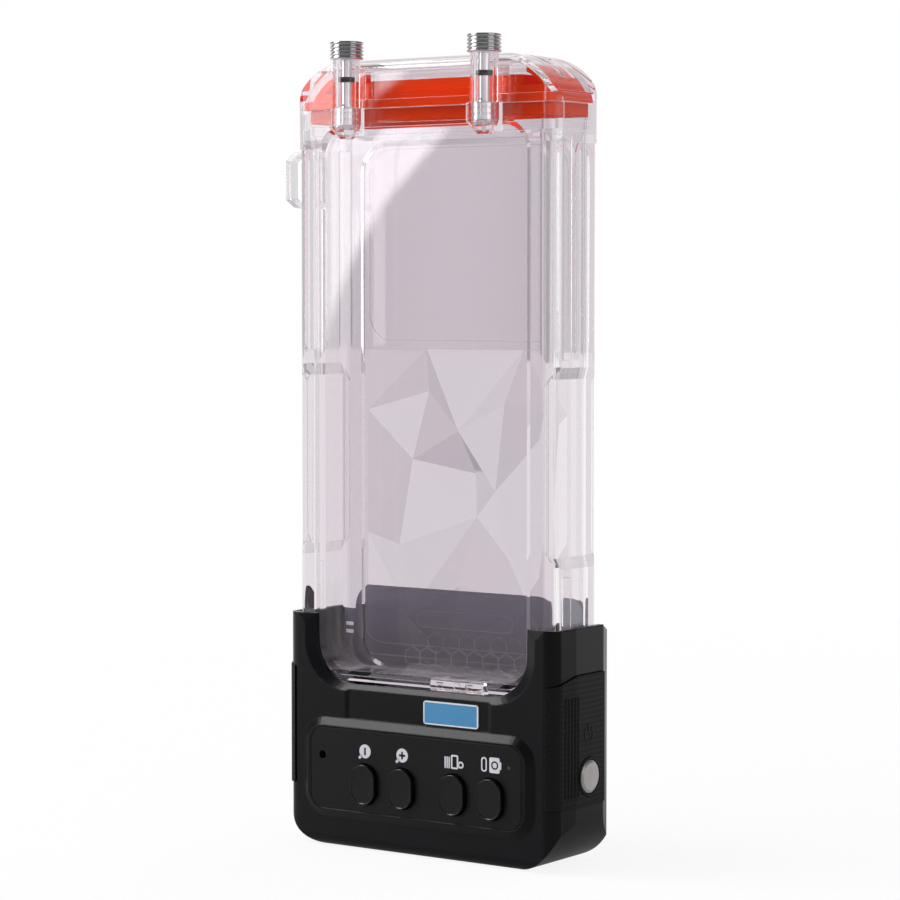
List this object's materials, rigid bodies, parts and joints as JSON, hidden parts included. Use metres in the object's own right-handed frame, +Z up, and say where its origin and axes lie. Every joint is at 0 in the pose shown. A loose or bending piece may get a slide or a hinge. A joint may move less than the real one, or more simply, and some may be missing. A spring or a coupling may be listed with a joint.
{
  "type": "waterproof phone case",
  "caption": "Clear upright waterproof phone case with a screwed cap on an orange seal, in a black electronics base with camera keys and a power key.",
  "frame": {"origin": "middle of the base's footprint, on the surface that it stands on", "axes": "+X to the right seen from the front, +Y to the back, +Z up to the cap"},
  "size_m": [0.1045, 0.037, 0.2431],
  "materials": {
    "clear_plastic": "polished clear polycarbonate",
    "insert_steel": "plain machined",
    "orange_silicone": "satin silicone",
    "polished_steel": "polished",
    "satin_steel": "satin",
    "black_rubber": "matt",
    "black_shell": "fine satin",
    "black_keys": "satin",
    "blue_label": "printed sheet",
    "board_green": "solder mask",
    "battery_foil": "foil",
    "grey_foam": "foam",
    "lens_white": "clear light guide"
  },
  "bodies": {
    "housing": {"case_body": "clear_plastic", "threaded_inserts": "insert_steel", "base_front": "black_shell", "base_back": "black_shell", "keypad_panel": "black_rubber", "power_ring": "black_rubber", "grip_left": "black_rubber", "grip_right": "black_rubber", "label_plate": "blue_label", "circuit_board": "board_green", "board_screws": "insert_steel", "key_switches": "insert_steel", "battery": "battery_foil", "battery_foam": "grey_foam", "power_switch": "insert_steel", "pressure_sensor": "insert_steel", "indicator_lens": "lens_white", "shell_seal": "orange_silicone", "shell_screws": "insert_steel", "case_screws": "insert_steel"},
    "cap": {"top_cap": "clear_plastic", "seal_gasket": "orange_silicone"},
    "screw_left_carrier": {"shaft_seal_left": "black_rubber"},
    "screw_left": {"thumb_screw_left": "polished_steel"},
    "screw_right_carrier": {"shaft_seal_right": "black_rubber"},
    "screw_right": {"thumb_screw_right": "polished_steel"},
    "zoom_out_key": {"key_zoom_out": "black_keys"},
    "zoom_in_key": {"key_zoom_in": "black_keys"},
    "mode_key": {"key_mode": "black_keys"},
    "shutter_key": {"key_shutter": "black_keys"},
    "power": {"power_key": "satin_steel"}
  },
  "joints": [
    {"name": "cap_lift", "type": "slide", "parent": "housing", "child": "cap", "axis": [0, 0, 1], "range_m": [0, 0.04]},
    {"name": "screw_left_rise", "type": "slide", "parent": "cap", "child": "screw_left_carrier", "axis": [0, 0, 1], "range_m": [0, 0.005]},
    {"name": "screw_left_turn", "type": "hinge", "parent": "screw_left_carrier", "child": "screw_left", "pos_m": [-0.0249, -0.0157, 0.24], "axis": [0, 0, 1], "range_deg": [0, 1801]},
    {"name": "screw_right_rise", "type": "slide", "parent": "cap", "child": "screw_right_carrier", "axis": [0, 0, 1], "range_m": [0, 0.005]},
    {"name": "screw_right_turn", "type": "hinge", "parent": "screw_right_carrier", "child": "screw_right", "pos_m": [0.0249, -0.0157, 0.24], "axis": [0, 0, 1], "range_deg": [0, 1801]},
    {"name": "zoom_out_press", "type": "slide", "parent": "housing", "child": "zoom_out_key", "axis": [0, 1, 0], "range_m": [0, 0.0009], "stiffness_N_per_m": 800},
    {"name": "zoom_in_press", "type": "slide", "parent": "housing", "child": "zoom_in_key", "axis": [0, 1, 0], "range_m": [0, 0.0009], "stiffness_N_per_m": 800},
    {"name": "mode_press", "type": "slide", "parent": "housing", "child": "mode_key", "axis": [0, 1, 0], "range_m": [0, 0.0009], "stiffness_N_per_m": 800},
    {"name": "shutter_press", "type": "slide", "parent": "housing", "child": "shutter_key", "axis": [0, 1, 0], "range_m": [0, 0.0009], "stiffness_N_per_m": 800},
    {"name": "power_press", "type": "slide", "parent": "housing", "child": "power", "axis": [-1, 0, 0], "range_m": [0, 0.0008], "stiffness_N_per_m": 800}
  ],
  "couplings": [
    {"joint": "screw_left_turn", "follows": "screw_left_rise", "rad_per_m": 6283.2},
    {"joint": "screw_right_turn", "follows": "screw_right_rise", "rad_per_m": 6283.2}
  ]
}
